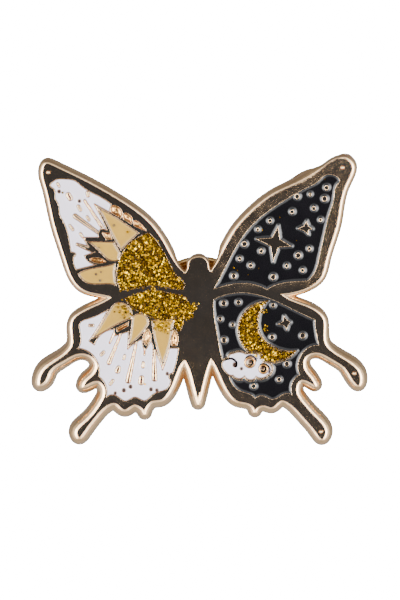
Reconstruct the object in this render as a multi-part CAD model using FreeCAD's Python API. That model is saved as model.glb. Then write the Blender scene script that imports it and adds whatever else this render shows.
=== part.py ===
import FreeCAD, Part
import math
import os

# Enamel pin of a moon-and-sun moth, worn upright: X across the wings, Z up,
# the coloured face looks along -Y and the garment side along +Y.
# The origin lies on the flat back of the plate, just above the post's seat.
# Millimetres throughout; plane outlines are lists of (x, z) points.

# ---- driving dimensions -------------------------------------------------
plate_thickness = 1.6        # die-cast plate, back face to crest
rim_growth = 0.6             # how far the back outline stands outside the crest
neck_share = 0.4             # part of that growth inside the two neck notches
wall_height = 0.6            # part of the rim that stands square to the back
well_depth = 0.55            # enamel pocket, crest to floor
cell_depth = 0.35            # small cells that are left bare
enamel_recess = 0.12         # cured enamel lies this far below the crest
wall_thickness = 0.16        # thin walls round the moon and the cloud
bead_radius = 0.22           # struck beads on the tips
convex_mitre = 1.05          # corner limits of a grown outline, times the growth
notch_mitre = 3.0

post_z = -1.5                # height of the post axis in the plate; x is 0
post_radius = 0.55
post_length = 9.0            # from the plate's back face to the point
post_point = 1.1             # length of the taper
tip_radius, tip_length = 0.12, 0.06
groove_radius = 0.38         # two grooves that the clutch can snap into
groove_length = 0.55
groove_starts = (2.2, 7.1)   # distance of each groove from the back face
seat_radius = 1.4            # recess in the back that takes flange and solder
seat_depth = 0.35
flange_radius = 1.15
flange_height = 0.2
root_radius = 0.75           # the wire is upset above the flange, under the solder
solder_height = 0.35         # top of the fillet above the back face
solder_sink = 0.05           # the fillet starts this far below the back face
solder_knee = (0.95, 0.08)   # radius and height where it turns up to the post
solder_collar = 0.12         # width of its top round the post

cloth_gap = 2.1              # cloth between the plate and the clutch
disc_radius = 5.7            # butterfly clutch base
disc_sheet = 0.3
disc_dish = 0.7              # the middle stands this far off the cloth
rim_bead = 0.36              # radius of the rolled rim
hub_radius = 2.3
barrel_bore = 0.72           # barrel raised from the base, round the post
barrel_radius = 1.0
barrel_lip = 1.3             # lip that keeps the spring on the barrel
lip_thickness = 0.16
running_gap = 0.05           # spring on barrel, radially and at each face
sheet = 0.25                 # spring strip
strip_width = 3.4
spring_reach = 2.3           # post axis to the middle of each bend
bend_low, bend_high = 0.45, 0.85     # bend radii of the lower and upper arm
bend_slit = 0.14             # room for the strip to flex at each bend
grip_radius = 0.75           # hole in each arm
grip_touch = 0.02            # arm to post on the gripping side
neck_width = 1.5
window_width = 2.1           # the upper arm lets the lower wing through
window_start, window_end = 0.85, 2.7
wing_root = 1.05             # where the wings turn up
wing_tip_x, wing_tip_rise = 5.5, 5.0
wing_width = 5.2
wing_shoulder = 1.5          # from the root to where the neck widens
wing_round = 1.4             # length of the round end

# ---- outline of the crest (the flat front of the metal) -----------------
# Each list is one smooth stretch; the stretches meet at corners.
crest_outline = [
    [(-1.6, 2.75), (-2.5, 3.7), (-3.6, 5.6), (-5.1, 7.8), (-8.0, 10.1), (-12.0, 12.4),
     (-15.2, 13.95), (-15.95, 14.12), (-16.22, 13.6), (-16.0, 12.0), (-15.1, 8.0),
     (-13.9, 4.1), (-13.05, 2.0), (-12.2, 1.15), (-11.2, 0.8), (-9.1, 0.3)],
    [(-9.1, 0.3), (-11.2, -0.83), (-12.3, -1.38), (-13.15, -2.1), (-13.35, -3.2),
     (-13.35, -4.7), (-14.1, -5.65), (-15.9, -6.85), (-16.8, -8.1), (-16.75, -9.0),
     (-16.2, -8.75), (-15.6, -7.6), (-14.3, -6.55), (-12.6, -5.72), (-11.4, -6.0),
     (-10.85, -6.9), (-11.3, -7.85), (-12.15, -8.75), (-12.25, -9.12), (-11.4, -8.85),
     (-10.6, -8.7), (-10.08, -9.4), (-10.5, -10.85), (-12.1, -12.8), (-13.0, -14.2),
     (-12.75, -14.6), (-12.0, -13.95), (-10.8, -12.35), (-9.6, -11.2), (-8.9, -11.0),
     (-8.35, -11.45), (-7.8, -11.68), (-7.3, -11.4), (-6.8, -11.15)],
    [(-6.8, -11.15), (-6.2, -11.45), (-5.8, -12.0)],
    [(-5.8, -12.0), (-5.5, -11.3), (-5.0, -10.8), (-4.1, -10.65), (-3.3, -9.95),
     (-2.4, -8.0), (-1.62, -6.4)],
    [(-1.62, -6.4), (-1.0, -8.0), (-0.5, -10.0), (-0.2, -10.95)],
    [(-0.2, -10.95), (0.05, -10.0), (0.5, -8.1), (1.15, -6.15)],
    [(1.15, -6.15), (2.2, -8.2), (3.1, -9.9), (3.9, -10.65), (4.8, -10.85), (5.75, -11.75)],
    [(5.75, -11.75), (6.15, -11.25), (6.8, -11.15), (7.5, -11.32), (8.0, -11.0),
     (8.5, -10.62), (9.3, -10.9), (10.8, -12.4), (12.1, -13.95), (12.85, -14.65),
     (13.12, -14.2), (12.2, -12.4), (10.6, -10.6), (10.08, -9.4), (10.5, -8.5),
     (11.3, -8.6), (12.02, -9.0), (11.6, -8.2), (10.9, -7.2), (10.95, -6.1),
     (12.2, -5.55), (13.6, -6.15), (15.1, -7.15), (15.85, -8.3), (16.6, -8.98),
     (16.78, -8.3), (15.9, -6.8), (14.0, -5.6), (13.1, -4.7), (12.9, -3.2),
     (12.75, -1.95), (12.0, -1.2), (10.6, -0.55), (8.3, 0.68)],
    [(8.3, 0.68), (10.9, 1.2), (12.5, 2.3), (13.1, 4.2), (14.2, 7.9),
     (15.1, 12.0), (15.62, 14.2), (15.1, 14.66), (12.0, 13.15), (8.0, 11.15), (5.2, 9.0),
     (3.5, 7.0), (2.2, 4.6), (1.15, 2.85)],
    [(1.15, 2.85), (0.82, 3.4), (0.68, 4.0), (0.35, 4.33), (-0.65, 4.33), (-1.1, 3.95),
     (-1.2, 3.3), (-1.6, 2.75)],
]

# ---- pockets for the enamel ---------------------------------------------
white_upper = [
    [(-12.85, 3.15), (-13.1, 3.7), (-13.12, 4.5)],
    [(-13.12, 4.5), (-12.9, 4.72), (-13.4, 5.0)],
    [(-13.4, 5.0), (-13.55, 6.0), (-14.1, 8.0), (-14.6, 9.1), (-14.7, 10.0), (-15.02, 10.6),
     (-15.08, 11.45), (-15.5, 11.85), (-15.1, 12.45), (-14.1, 12.62), (-13.0, 12.45),
     (-12.1, 11.75), (-10.6, 10.9), (-9.2, 10.0)],
    [(-9.2, 10.0), (-9.42, 9.15)],
    [(-9.42, 9.15), (-10.95, 10.0)],
    [(-10.95, 10.0), (-9.95, 8.0), (-9.6, 7.25)],
    [(-9.6, 7.25), (-10.15, 7.5)],
    [(-10.15, 7.5), (-10.5, 7.1), (-10.5, 6.5)],
    [(-10.5, 6.5), (-12.12, 6.5)],
    [(-12.12, 6.5), (-11.5, 5.55), (-10.85, 5.0)],
    [(-10.85, 5.0), (-12.0, 4.6)],
    [(-12.0, 4.6), (-11.6, 4.05), (-10.75, 3.68)],
    [(-10.75, 3.68), (-12.85, 3.15)],
]
white_lower = [
    [(-9.55, -0.98), (-10.4, -1.45), (-11.3, -1.85), (-12.5, -2.4), (-12.5, -3.3), (-12.82, -5.1)],
    [(-12.82, -5.1), (-11.6, -5.45), (-10.7, -6.5), (-10.58, -8.05)],
    [(-10.58, -8.05), (-9.95, -8.75), (-9.8, -10.25)],
    [(-9.8, -10.25), (-8.7, -10.12), (-7.75, -10.65), (-6.8, -10.25), (-5.8, -10.62),
     (-4.9, -9.95), (-3.6, -9.45), (-3.05, -8.4)],
    [(-3.05, -8.4), (-3.25, -7.95), (-2.85, -7.7)],
    [(-2.85, -7.7), (-2.4, -6.2), (-2.25, -5.05)],
    [(-2.25, -5.05), (-3.2, -5.05)],
    [(-3.2, -5.05), (-3.5, -6.2), (-3.92, -7.35)],
    [(-3.92, -7.35), (-4.35, -6.0), (-4.85, -4.9), (-5.1, -4.2)],
    [(-5.1, -4.2), (-5.75, -5.15), (-6.05, -4.1)],
    [(-6.05, -4.1), (-6.8, -4.5), (-7.55, -5.15)],
    [(-7.55, -5.15), (-7.45, -3.3)],
    [(-7.45, -3.3), (-8.85, -3.75)],
    [(-8.85, -3.75), (-8.95, -3.05)],
    [(-8.95, -3.05), (-10.3, -3.6), (-11.0, -4.7)],
    [(-11.0, -4.7), (-11.55, -4.3)],
    [(-11.55, -4.3), (-10.5, -2.7), (-9.55, -0.98)],
]
cream_rays = {
    "upper_1": [
        [(-10.55, 9.6), (-9.4, 9.03), (-8.0, 8.15), (-6.35, 7.0)],
        [(-6.35, 7.0), (-7.25, 6.15), (-8.2, 5.2)],
        [(-8.2, 5.2), (-8.8, 6.2), (-9.7, 8.0), (-10.55, 9.6)]],
    "upper_2": [
        [(-11.85, 6.12), (-8.95, 6.05)],
        [(-8.95, 6.05), (-8.32, 4.95)],
        [(-8.32, 4.95), (-8.42, 4.15)],
        [(-8.42, 4.15), (-9.25, 4.1), (-10.5, 5.1), (-11.85, 6.12)]],
    "upper_3": [
        [(-12.65, 2.75), (-12.1, 3.05), (-10.5, 3.42), (-8.8, 3.85)],
        [(-8.8, 3.85), (-8.85, 2.6), (-8.7, 1.5)],
        [(-8.7, 1.5), (-10.5, 1.65), (-11.7, 1.78), (-12.4, 2.3), (-12.65, 2.75)]],
    "lower_1": [
        [(-11.2, -4.05), (-10.2, -2.4), (-9.1, -0.58)],
        [(-9.1, -0.58), (-8.0, -0.3), (-7.25, -0.9), (-7.2, -1.95)],
        [(-7.2, -1.95), (-8.2, -2.35), (-9.8, -3.25), (-11.2, -4.05)]],
    "lower_2": [
        [(-7.05, -1.85), (-6.3, -1.45), (-5.6, -1.75), (-5.35, -2.5)],
        [(-5.35, -2.5), (-6.2, -3.7), (-7.5, -4.8)],
        [(-7.5, -4.8), (-7.2, -3.4), (-7.05, -1.85)]],
    "lower_3": [
        [(-5.0, -2.12), (-2.78, -2.12)],
        [(-2.78, -2.12), (-3.05, -4.2), (-3.9, -6.85)],
        [(-3.9, -6.85), (-4.7, -4.3), (-5.0, -2.12)]],
}
suns = {
    "upper": [
        [(-8.25, 1.0), (-8.62, 2.4), (-8.2, 4.6), (-6.9, 6.2), (-5.3, 7.0)],
        [(-5.3, 7.0), (-4.2, 5.7), (-3.1, 3.7), (-2.3, 2.4), (-1.6, 1.6), (-1.95, 1.05)],
        [(-1.95, 1.05), (-3.2, 1.25), (-4.6, 1.5), (-6.4, 1.25), (-8.25, 1.0)]],
    "lower": [
        [(-7.75, 0.15), (-6.4, 0.72), (-4.6, 1.02), (-2.9, 0.65), (-1.6, 0.28), (-1.0, -0.45),
         (-0.25, -0.55)],
        [(-0.25, -0.55), (-0.65, -1.1), (-0.8, -1.7), (-1.7, -1.7)],
        [(-1.7, -1.7), (-2.9, -1.98), (-4.6, -1.95), (-6.2, -1.28), (-7.2, -0.65), (-7.75, 0.15)]],
    "drop": [
        [(-2.55, -1.98), (-2.62, -2.6), (-2.15, -3.25), (-1.85, -2.7), (-1.72, -1.9)],
        [(-1.72, -1.9), (-2.55, -1.98)]],
}
night_upper = [
    [(1.45, 1.15), (2.55, 3.2), (3.8, 5.6), (5.5, 7.9), (8.0, 9.9), (11.2, 11.75),
     (12.3, 12.4), (13.0, 13.0), (14.0, 12.92), (14.5, 12.35)],
    [(14.5, 12.35), (13.95, 11.5), (13.85, 10.6), (13.45, 9.2), (12.95, 7.2), (12.4, 4.7),
     (11.85, 2.8), (11.2, 2.0)],
    [(11.2, 2.0), (9.4, 1.9), (8.1, 1.65), (6.95, 1.08)],
    [(6.95, 1.08), (5.7, 1.6), (4.2, 1.76), (2.8, 1.55), (1.45, 1.15)],
]
night_lower = [
    [(1.4, 0.02), (2.7, 0.55), (4.4, 0.76), (6.5, 0.4), (8.8, -0.55), (11.95, -2.05)],
    [(11.95, -2.05), (12.05, -3.2), (12.4, -4.75)],
    [(12.4, -4.75), (11.3, -5.0), (10.4, -6.0), (10.4, -7.85)],
    [(10.4, -7.85), (9.65, -8.6), (9.6, -9.95)],
    [(9.6, -9.95), (8.4, -10.05), (7.6, -10.45), (6.8, -10.15), (5.75, -10.35)],
    [(5.75, -10.35), (5.1, -9.85), (4.2, -9.55), (3.4, -8.85), (3.0, -7.9), (2.35, -6.3),
     (1.9, -4.1), (1.45, -1.4), (1.4, 0.02)],
]
moon = [
    [(6.95, -0.15), (5.5, -0.65), (4.4, -1.75), (4.08, -3.3), (4.6, -4.8), (5.7, -5.9),
     (7.3, -6.5), (8.9, -6.15), (9.95, -5.4)],
    [(9.95, -5.4), (8.6, -5.4), (7.2, -4.75), (6.2, -3.6), (5.98, -2.0), (6.95, -0.15)],
]
cloud = [
    [(2.36, -6.5), (2.75, -6.2), (2.98, -6.12)],
    [(2.98, -6.12), (3.15, -5.72), (3.5, -5.62)],
    [(3.5, -5.62), (4.1, -5.48), (4.75, -5.68)],
    [(4.75, -5.68), (5.4, -5.6), (6.2, -5.72), (6.55, -6.1), (6.5, -6.62)],
    [(6.5, -6.62), (7.1, -6.62), (7.45, -6.95), (7.38, -7.6), (7.02, -7.9)],
    [(7.02, -7.9), (6.6, -8.2), (6.15, -8.2), (5.85, -8.05)],
    [(5.85, -8.05), (5.5, -8.38), (4.95, -8.32), (4.65, -8.0)],
    [(4.65, -8.0), (4.3, -8.26), (3.8, -8.22), (3.45, -7.93)],
    [(3.45, -7.93), (3.1, -7.92), (2.7, -7.6), (2.32, -7.0), (2.36, -6.5)],
]
bare_cells = [
    [[(-9.2, 9.12), (-9.05, 9.85), (-8.45, 9.7), (-8.05, 9.0), (-8.2, 8.55)],
     [(-8.2, 8.55), (-9.2, 9.12)]],
    [[(-7.9, 8.42), (-7.85, 9.05), (-7.25, 8.85), (-7.0, 8.3), (-7.15, 7.92)],
     [(-7.15, 7.92), (-7.9, 8.42)]],
    [[(-6.85, 7.72), (-6.75, 8.3), (-6.2, 8.0), (-5.6, 7.2)], [(-5.6, 7.2), (-6.85, 7.72)]],
    [[(-10.15, 7.05), (-9.35, 6.98)], [(-9.35, 6.98), (-9.1, 6.32)],
     [(-9.1, 6.32), (-9.75, 6.3)], [(-9.75, 6.3), (-10.15, 7.05)]],
    [[(-11.5, 4.3), (-10.7, 4.42), (-9.75, 4.0)], [(-9.75, 4.0), (-10.8, 3.88), (-11.5, 4.3)]],
    [[(-5.42, -3.02), (-5.88, -3.6), (-5.65, -4.75)], [(-5.65, -4.75), (-5.1, -3.9), (-5.42, -3.02)]],
    [[(-2.65, -3.1), (-3.02, -4.3), (-2.9, -4.82)], [(-2.9, -4.82), (-2.45, -4.82)],
     [(-2.45, -4.82), (-2.3, -3.7), (-2.65, -3.1)]],
    [[(-8.72, -2.98), (-7.45, -2.3)], [(-7.45, -2.3), (-7.5, -2.72)],
     [(-7.5, -2.72), (-8.6, -3.35)], [(-8.6, -3.35), (-8.72, -2.98)]],
]

# ---- raised metal inside the pockets ------------------------------------
# A vein runs from (x, z, width) to (x, z, width) with round ends.
white_upper_veins = [
    ((-11.95, 10.35, 0.16), (-10.1, 7.5, 0.26)), ((-12.95, 8.75, 0.4), (-10.55, 7.0, 0.24)),
    ((-12.75, 5.8, 0.22), (-11.1, 5.2, 0.5)), ((-14.75, 12.1, 0.16), (-14.6, 11.85, 0.16)),
    ((-13.65, 10.95, 0.42), (-13.45, 10.6, 0.42)), ((-12.6, 9.75, 0.26), (-12.4, 9.4, 0.26)),
    ((-11.7, 8.65, 0.2), (-11.5, 8.35, 0.2)), ((-11.65, 11.15, 0.3), (-11.6, 10.9, 0.3)),
    ((-13.5, 7.75, 0.16), (-13.2, 7.35, 0.22)), ((-12.4, 6.9, 0.2), (-12.2, 6.6, 0.16)),
]
white_lower_veins = [
    ((-8.15, -3.3, 0.14), (-9.5, -6.6, 0.36)), ((-6.55, -4.1, 0.14), (-7.5, -8.5, 0.46)),
    ((-4.8, -4.5, 0.16), (-4.75, -8.3, 0.46)), ((-5.75, -4.8, 0.14), (-5.8, -5.75, 0.1)),
    ((-8.9, -3.4, 0.14), (-9.4, -4.5, 0.1)), ((-11.5, -2.68, 0.2), (-11.15, -2.68, 0.2)),
    ((-10.3, -5.75, 0.24), (-10.05, -5.5, 0.24)), ((-7.85, -5.85, 0.16), (-7.95, -6.15, 0.22)),
    ((-8.5, -7.15, 0.36), (-8.6, -7.45, 0.46)), ((-5.92, -6.6, 0.2), (-5.95, -7.0, 0.26)),
    ((-6.1, -8.2, 0.42), (-6.15, -8.65, 0.5)), ((-9.1, -8.5, 0.22), (-9.35, -8.85, 0.22)),
]
# A dot is (x, z, radius).
white_upper_dots = [(-14.6, 11.3, 0.13), (-12.5, 10.3, 0.12)]
white_lower_dots = [
    (-8.85, -9.8, 0.11), (-7.95, -9.5, 0.16), (-7.25, -9.12, 0.15), (-5.12, -9.4, 0.15),
    (-4.5, -9.5, 0.13), (-3.42, -7.75, 0.12),
]
night_upper_dots = [
    (13.1, 11.7, 0.24), (11.4, 11.0, 0.16), (12.9, 10.55, 0.28), (10.05, 10.8, 0.27),
    (11.8, 9.55, 0.22), (9.55, 9.2, 0.22), (12.5, 8.35, 0.18), (7.25, 8.25, 0.2),
    (6.0, 7.35, 0.18), (4.6, 5.85, 0.27), (6.35, 5.1, 0.22), (11.35, 5.35, 0.2),
    (10.2, 4.65, 0.28), (4.1, 4.3, 0.2), (5.25, 3.6, 0.22), (9.0, 3.55, 0.2),
    (10.65, 3.1, 0.2), (3.5, 2.5, 0.26), (7.6, 2.4, 0.28),
]
night_lower_dots = [
    (2.45, -0.35, 0.26), (4.0, -0.25, 0.22), (7.6, -0.55, 0.2), (2.1, -2.0, 0.2),
    (3.4, -2.6, 0.18), (2.5, -4.2, 0.27), (10.7, -3.75, 0.28), (7.5, -3.9, 0.24),
    (9.05, -6.7, 0.26), (8.25, -8.35, 0.22), (5.6, -9.05, 0.24),
]
cloud_dots = [(5.25, -6.45, 0.13), (6.52, -7.15, 0.12), (4.32, -7.22, 0.11), (3.62, -6.82, 0.18)]
cloud_rings = [(5.2, -6.55, 0.5), (6.62, -7.25, 0.42)]
ring_line = 0.13
# A star is its middle, waist radius and four tips.
night_upper_stars = [
    ((7.8, 6.0), 0.6, [(8.12, 7.75), (9.5, 5.6), (7.6, 3.95), (5.85, 6.35)]),
    ((11.0, 7.5), 0.34, [(11.05, 8.25), (11.65, 7.4), (11.25, 6.8), (10.15, 7.45)]),
]
night_lower_stars = [
    ((8.92, -2.4), 0.32, [(8.75, -1.68), (9.42, -2.35), (9.05, -3.12), (8.1, -2.55)]),
]
tip_beads = [(-15.7, 13.3), (14.75, 13.8), (16.1, -7.7), (12.65, -13.85)]


# ---- plane geometry ------------------------------------------------------
def point(x, z, y=0.0):
    return FreeCAD.Vector(x, y, z)


def curve_through(stretch, y=0.0):
    points = [point(x, z, y) for x, z in stretch]
    if len(points) == 2:
        return Part.LineSegment(points[0], points[1])
    curve = Part.BSplineCurve()
    curve.interpolate(points)
    return curve


def wire(stretches, y=0.0):
    """Closed wire in the plane at y; two points make a line, more a smooth curve."""
    return Part.Wire([curve_through(stretch, y).toShape() for stretch in stretches])


def tangent_at(stretch, place):
    curve = curve_through(stretch)
    tangent = curve.tangent(curve.parameter(point(*place)))[0]
    return tangent.x, tangent.z


def grown(stretches, growth):
    """The outline moved to its right by growth(x, z); corners are mitred within limits."""
    result = []
    for index, stretch in enumerate(stretches):
        moved = []
        for place in stretch:
            into = out = tangent_at(stretch, place)
            if place == stretch[0]:
                into = tangent_at(stretches[index - 1], place)
            if place == stretch[-1]:
                out = tangent_at(stretches[(index + 1) % len(stretches)], place)
            turn = into[0] * out[1] - into[1] * out[0]
            limit = convex_mitre if turn > 0 else notch_mitre
            sum_x, sum_z = into[1] + out[1], -into[0] - out[0]
            scale = growth(*place) * min(2.0 / (sum_x ** 2 + sum_z ** 2), limit / math.hypot(sum_x, sum_z))
            moved.append((place[0] + sum_x * scale, place[1] + sum_z * scale))
        result.append(moved)
    return result


def rim(share):
    """Growth of the rim at one level; the neck notches are narrow and grow less."""
    def growth(x, z):
        in_neck = abs(x) < 2.0 and z > 2.5
        return rim_growth * share * (neck_share if in_neck else 1.0)
    return growth


def counterclockwise(stretches):
    """True where the outline runs counterclockwise as seen from the front."""
    points = [p for stretch in stretches for p in stretch[:-1]]
    area = sum(x0 * z1 - x1 * z0 for (x0, z0), (x1, z1) in zip(points, points[1:] + points[:1]))
    return area > 0


def prism(face_or_wire, y_from, y_to):
    """Solid between two depths from a wire or face that lies at y = 0."""
    face = face_or_wire if isinstance(face_or_wire, Part.Face) else Part.Face(face_or_wire)
    solid = face.extrude(FreeCAD.Vector(0, y_to - y_from, 0))
    solid.translate(FreeCAD.Vector(0, y_from, 0))
    return solid


def disc_wire(x, z, radius):
    return Part.Wire([Part.Circle(point(x, z), FreeCAD.Vector(0, 1, 0), radius).toShape()])


def vein_wire(start, end):
    """Tapered bar with round ends."""
    (x0, z0, w0), (x1, z1, w1) = start, end
    length = math.hypot(x1 - x0, z1 - z0)
    ux, uz = (x1 - x0) / length, (z1 - z0) / length
    r0, r1 = w0 / 2, w1 / 2
    lean = math.asin((r0 - r1) / length)
    side_x, side_z = math.cos(lean), math.sin(lean)

    def on(x, z, radius, across, along):
        return point(x + radius * (ux * along - uz * across), z + radius * (uz * along + ux * across))

    a0, a1 = on(x0, z0, r0, side_x, side_z), on(x1, z1, r1, side_x, side_z)
    b0, b1 = on(x0, z0, r0, -side_x, side_z), on(x1, z1, r1, -side_x, side_z)
    return Part.Wire([
        Part.LineSegment(a0, a1).toShape(),
        Part.Arc(a1, on(x1, z1, r1, 0, 1), b1).toShape(),
        Part.LineSegment(b1, b0).toShape(),
        Part.Arc(b0, on(x0, z0, r0, 0, -1), a0).toShape(),
    ])


def star_wire(middle, waist, tips):
    """Tips joined by straight flanks that meet on the waist radius."""
    edges = []
    for index, tip in enumerate(tips):
        following = tips[(index + 1) % len(tips)]
        angle_0 = math.atan2(tip[1] - middle[1], tip[0] - middle[0])
        angle_1 = math.atan2(following[1] - middle[1], following[0] - middle[0])
        if angle_1 > angle_0:
            angle_1 -= 2 * math.pi
        halfway = (angle_0 + angle_1) / 2
        hollow = (middle[0] + waist * math.cos(halfway), middle[1] + waist * math.sin(halfway))
        edges.append(curve_through([tip, hollow]).toShape())
        edges.append(curve_through([hollow, following]).toShape())
    return Part.Wire(edges)


# ---- plate and enamel ----------------------------------------------------
crest = -plate_thickness
floor = crest + well_depth
enamel_top = crest + enamel_recess
rim_levels = [(1.0, 0.0), (1.0, -wall_height), (0.86, -1.05), (0.5, -1.42), (0.0, crest)]


def islands(veins=(), dots=(), stars=(), rings=()):
    """Solids of the metal that stands up inside a pocket."""
    wires = [vein_wire(start, end) for start, end in veins]
    wires += [disc_wire(x, z, radius) for x, z, radius in dots]
    wires += [star_wire(*star) for star in stars]
    solids = [prism(w, floor, crest) for w in wires]
    for x, z, radius in rings:
        outer = prism(disc_wire(x, z, radius + ring_line / 2), floor, crest)
        solids.append(outer.cut(prism(disc_wire(x, z, radius - ring_line / 2), floor, crest)))
    return solids


def pocket(outline, raised=()):
    """Space of one enamel colour, crest to floor, around its raised metal."""
    space = prism(wire(outline), floor, crest)
    return space.cut(list(raised)) if raised else space


def wall_round(outline):
    """Block that leaves a thin metal wall round an outline."""
    sign = 1 if counterclockwise(outline) else -1
    return prism(wire(grown(outline, lambda x, z: sign * wall_thickness)), floor, crest)


def make_pockets():
    moon_block, cloud_block = wall_round(moon), wall_round(cloud)
    cloud_space = prism(wire(cloud), floor, crest)
    pockets = {
        "enamel_white_upper": pocket(white_upper, islands(white_upper_veins, white_upper_dots)),
        "enamel_white_lower": pocket(white_lower, islands(white_lower_veins, white_lower_dots)),
        "enamel_night_upper": pocket(night_upper, islands((), night_upper_dots, night_upper_stars)),
        "enamel_night_lower": pocket(
            night_lower,
            islands((), night_lower_dots, night_lower_stars) + [moon_block, cloud_block]),
        "enamel_moon": prism(wire(moon), floor, crest).cut(cloud_block),
        "enamel_cloud": cloud_space.cut(islands((), cloud_dots, (), cloud_rings)),
    }
    for name, outline in cream_rays.items():
        pockets["enamel_cream_" + name] = pocket(outline)
    for name, outline in suns.items():
        pockets["enamel_sun_" + name] = pocket(outline)
    return pockets


def make_blank():
    """Plate with its rounded rim, before the pockets are struck."""
    wires = [wire(grown(crest_outline, rim(share)), y) for share, y in rim_levels]
    faces = [Part.Face(wires[0]), Part.Face(wires[-1])]
    for lower, upper in zip(wires, wires[1:]):
        faces += [Part.makeRuledSurface(a, b) for a, b in zip(lower.Edges, upper.Edges)]
    shell = Part.makeShell(faces)
    shell.sewShape()
    solid = Part.makeSolid(shell)
    if solid.Volume < 0:
        solid.reverse()
    return solid


def make_plate(pockets):
    plate = make_blank()
    cells = [prism(wire(outline), crest + cell_depth, crest) for outline in bare_cells]
    seat = Part.makeCylinder(seat_radius, seat_depth, point(0, post_z, -seat_depth), point(0, 0, 1))
    plate = plate.cut(list(pockets.values()) + cells + [seat])
    beads = [Part.makeSphere(bead_radius, point(x, z, crest)) for x, z in tip_beads]
    return plate.fuse(beads).removeSplitter()


def make_enamel(space):
    """Cured enamel fills its pocket up to a little below the crest."""
    half = 30.0
    slab = Part.makeBox(2 * half, floor - enamel_top, 2 * half, point(-half, -half, enamel_top))
    return space.common(slab)


# ---- post ----------------------------------------------------------------
axis = FreeCAD.Vector(0, 1, 0)


def turned(profile):
    """Solid of revolution about the post axis from (radius, y) corners."""
    points = [point(radius, post_z, y) for radius, y in profile]
    face = Part.Face(Part.makePolygon(points + points[:1]))
    return face.revolve(point(0, post_z), axis, 360)


def ring(inner, outer, y_from, y_to):
    return turned([(inner, y_from), (outer, y_from), (outer, y_to), (inner, y_to)])


def make_post():
    foot = -seat_depth
    profile = [(0, foot), (flange_radius, foot), (flange_radius, foot + flange_height),
               (root_radius, foot + flange_height), (post_radius, solder_height)]
    slope = post_radius - groove_radius
    for start in groove_starts:
        end = start + groove_length
        profile += [(post_radius, start), (groove_radius, start + slope / 2),
                    (groove_radius, end - slope / 2), (post_radius, end)]
    profile += [(post_radius, post_length - post_point), (tip_radius, post_length - tip_length),
                (0, post_length)]
    return turned(profile)


def make_solder():
    foot = -seat_depth
    return turned([
        (flange_radius, foot), (seat_radius, foot), (seat_radius, -solder_sink), solder_knee,
        (post_radius + solder_collar, solder_height), (post_radius, solder_height),
        (root_radius, foot + flange_height), (flange_radius, foot + flange_height)])


# ---- butterfly clutch ----------------------------------------------------
hub_y = cloth_gap + disc_dish                    # cloth side of the hub
seat_y = hub_y + disc_sheet + running_gap        # cloth side of the spring strip
lip_y = seat_y + sheet + running_gap
middle_y = seat_y + sheet / 2                    # middle plane of the strip
hinge_low_y = middle_y + bend_low
hinge_high_y = middle_y + bend_high


def make_clutch_base():
    """Dished disc with a rolled rim and a raised barrel that carries the spring."""
    rim_middle = disc_radius - rim_bead
    rim_y = cloth_gap + rim_bead
    rim_roll = Part.makeTorus(rim_middle, rim_bead, point(0, post_z, rim_y), axis)
    web = turned([
        (barrel_bore, hub_y), (hub_radius, hub_y), (rim_middle, rim_y - disc_sheet / 2),
        (rim_middle, rim_y + disc_sheet / 2), (hub_radius, hub_y + disc_sheet),
        (barrel_radius, hub_y + disc_sheet), (barrel_radius, lip_y), (barrel_lip, lip_y),
        (barrel_lip, lip_y + lip_thickness), (barrel_bore, lip_y + lip_thickness)])
    return web.fuse(rim_roll).removeSplitter()


def strip(profile, width_outline):
    """Strip of the spring: a thick line in the X-Y plane, cut to its plan shape."""
    face = Part.Face(Part.Wire(profile))
    solid = face.extrude(FreeCAD.Vector(0, 0, 10))
    solid.translate(FreeCAD.Vector(0, 0, post_z - 5))
    return solid.common(width_outline)


def bend_edges(middle_x, middle_y_, radius, side, start_angle, end_angle):
    """Section of a quarter bend between two angles, measured from the post axis side."""
    def at(r, angle):
        return FreeCAD.Vector(middle_x + side * r * math.sin(angle), middle_y_ - r * math.cos(angle), 0)
    inner, outer = radius - sheet / 2, radius + sheet / 2
    half = (start_angle + end_angle) / 2
    return [
        Part.Arc(at(outer, start_angle), at(outer, half), at(outer, end_angle)).toShape(),
        Part.LineSegment(at(outer, end_angle), at(inner, end_angle)).toShape(),
        Part.Arc(at(inner, end_angle), at(inner, half), at(inner, start_angle)).toShape(),
        Part.LineSegment(at(inner, start_angle), at(outer, start_angle)).toShape()]


def plan(corners):
    """Tall block with the given (x, z from the post) plan outline, for cutting a strip."""
    points = [FreeCAD.Vector(x, 0, post_z + z) for x, z in corners]
    return Part.Face(Part.makePolygon(points + points[:1])).extrude(FreeCAD.Vector(0, 20, 0))


def window_block():
    return plan([(window_start, -window_width / 2), (window_end, -window_width / 2),
                 (window_end, window_width / 2), (window_start, window_width / 2)])


def quarter(side, radius, hinge_y, upper):
    """One half of a bend; the slit between the halves is where the strip flexes."""
    slit = bend_slit / 2 / radius
    angles = (math.pi / 2 + slit, math.pi) if upper else (0.0, math.pi / 2 - slit)
    profile = bend_edges(side * spring_reach, hinge_y, radius, side, *angles)
    width = strip_width / 2
    return strip(profile, plan([(-9, -width), (9, -width), (9, width), (-9, width)]))


def make_spring_seat():
    """Flat of the spring that turns on the barrel, with the roots of both bends."""
    width = strip_width / 2
    flat = Part.makeBox(2 * spring_reach, sheet, strip_width, point(-spring_reach, post_z - width, seat_y))
    roots = [quarter(-1, bend_low, hinge_low_y, False), quarter(1, bend_high, hinge_high_y, False)]
    hole = ring(0, barrel_radius + running_gap, seat_y - 1, seat_y + 1)
    return flat.fuse(roots).cut(hole).removeSplitter()


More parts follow.
